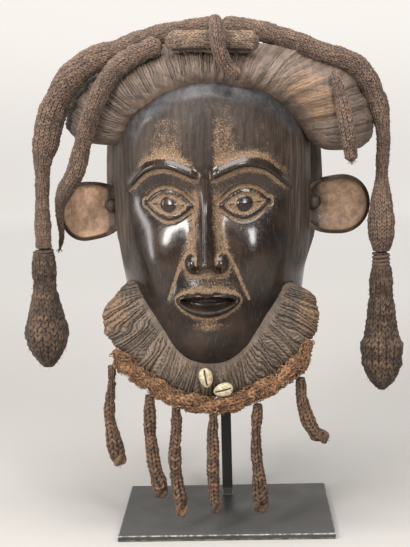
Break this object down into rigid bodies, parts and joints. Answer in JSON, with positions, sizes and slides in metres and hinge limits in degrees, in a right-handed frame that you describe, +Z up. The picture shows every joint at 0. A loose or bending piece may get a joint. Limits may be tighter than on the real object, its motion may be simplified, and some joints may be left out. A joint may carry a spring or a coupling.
{
  "type": "helmet mask on a display stand",
  "caption": "Carved wooden helmet mask with ribbed hair, beard ruff and flared ears, plaited fibre braids, fringed collar and cowries, held on a steel bar and base plate.",
  "frame": {"origin": "middle of the base plate's underside, where the stand rests on a table", "axes": "+Z up, the mask looks along -Y, +X to the right for someone who faces it"},
  "size_m": [0.3507, 0.215, 0.4769],
  "materials": {
    "carved_wood": "near black oiled patina, dusty brown in the carving",
    "braid_fibre": "matte dark brown plaited plant fibre",
    "collar_fibre": "matte reddish brown plaited fibre",
    "tassel_fibre": "matte brown plaited fibre",
    "cowrie_shell": "worn cream shell, soft gloss",
    "blackened_steel": "dark grey satin, scuffed edges"
  },
  "bodies": {
    "root": {"base_plate": "blackened_steel", "stand_bar": "blackened_steel", "mask": "carved_wood", "fibre_collar": "collar_fibre", "cowrie_upper": "cowrie_shell", "cowrie_lower": "cowrie_shell", "crown_roll": "braid_fibre", "braid_left_outer": "braid_fibre", "braid_left_outer_bulb": "braid_fibre", "braid_left_inner": "braid_fibre", "braid_centre": "braid_fibre", "braid_right_inner": "braid_fibre", "braid_right_outer": "braid_fibre", "braid_right_outer_bulb": "braid_fibre", "tassel_1": "tassel_fibre", "tassel_2": "tassel_fibre", "tassel_3": "tassel_fibre", "tassel_4": "tassel_fibre", "tassel_5": "tassel_fibre", "tassel_6": "tassel_fibre"}
  },
  "joints": []
}
